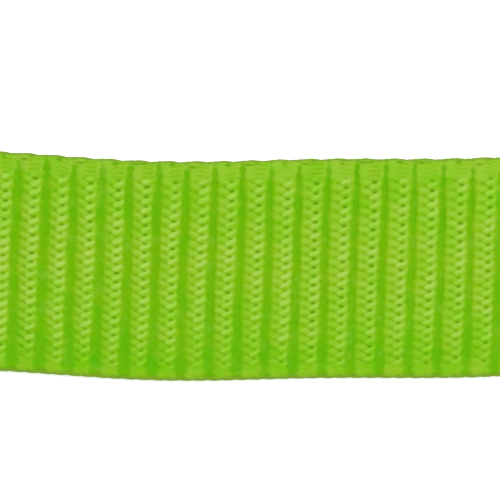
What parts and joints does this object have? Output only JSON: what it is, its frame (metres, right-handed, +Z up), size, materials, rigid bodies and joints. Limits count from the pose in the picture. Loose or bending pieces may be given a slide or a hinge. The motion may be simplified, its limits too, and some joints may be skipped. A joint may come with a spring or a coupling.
{
  "type": "flat web sling",
  "caption": "Flat woven lifting sling with a soft lined eye sewn at each end, stitched splices and a blank sewn-on tag, laid out straight.",
  "frame": {"origin": "middle of the sling on the surface that it lies on", "axes": "+X along the sling towards end b, Y across the webbing, +Z up out of the webbing's face"},
  "size_m": [0.51, 0.03, 0.034],
  "materials": {
    "webbing": "lime green heavy ribbed polyester webbing",
    "lining": "darker green thin polyester tape",
    "thread": "pale bonded polyester sewing thread",
    "label": "plain blue coated woven tag",
    "label_thread": "white polyester sewing thread"
  },
  "bodies": {
    "body": {"body_webbing": "webbing"},
    "end_a": {"body_webbing_a": "webbing", "tail_a": "webbing", "splice_stitching_a": "thread"},
    "end_b": {"body_webbing_b": "webbing", "tail_b": "webbing", "splice_stitching_b": "thread", "label_root": "label", "label_stitching": "label_thread"},
    "eye_a": {"eye_webbing_a": "webbing", "eye_lining_a": "lining", "lining_stitching_a": "thread"},
    "eye_b": {"eye_webbing_b": "webbing", "eye_lining_b": "lining", "lining_stitching_b": "thread"},
    "tag": {"label_flap": "label"}
  },
  "joints": [
    {"name": "flex_a", "type": "hinge", "parent": "body", "child": "end_a", "pos_m": [-0.064, 0, 0.0015], "axis": [0, 1, 0], "range_deg": [-60, 60]},
    {"name": "flex_b", "type": "hinge", "parent": "body", "child": "end_b", "pos_m": [0.064, 0, 0.0015], "axis": [0, -1, 0], "range_deg": [-60, 60]},
    {"name": "eye_swing_a", "type": "hinge", "parent": "end_a", "child": "eye_a", "pos_m": [-0.152, 0, 0.003], "axis": [0, 1, 0], "range_deg": [-60, 60]},
    {"name": "eye_swing_b", "type": "hinge", "parent": "end_b", "child": "eye_b", "pos_m": [0.152, 0, 0.003], "axis": [0, -1, 0], "range_deg": [-60, 60]},
    {"name": "tag_lift", "type": "hinge", "parent": "end_b", "child": "tag", "pos_m": [0.093, 0, 0.0072], "axis": [0, -1, 0], "range_deg": [0, 90]}
  ]
}
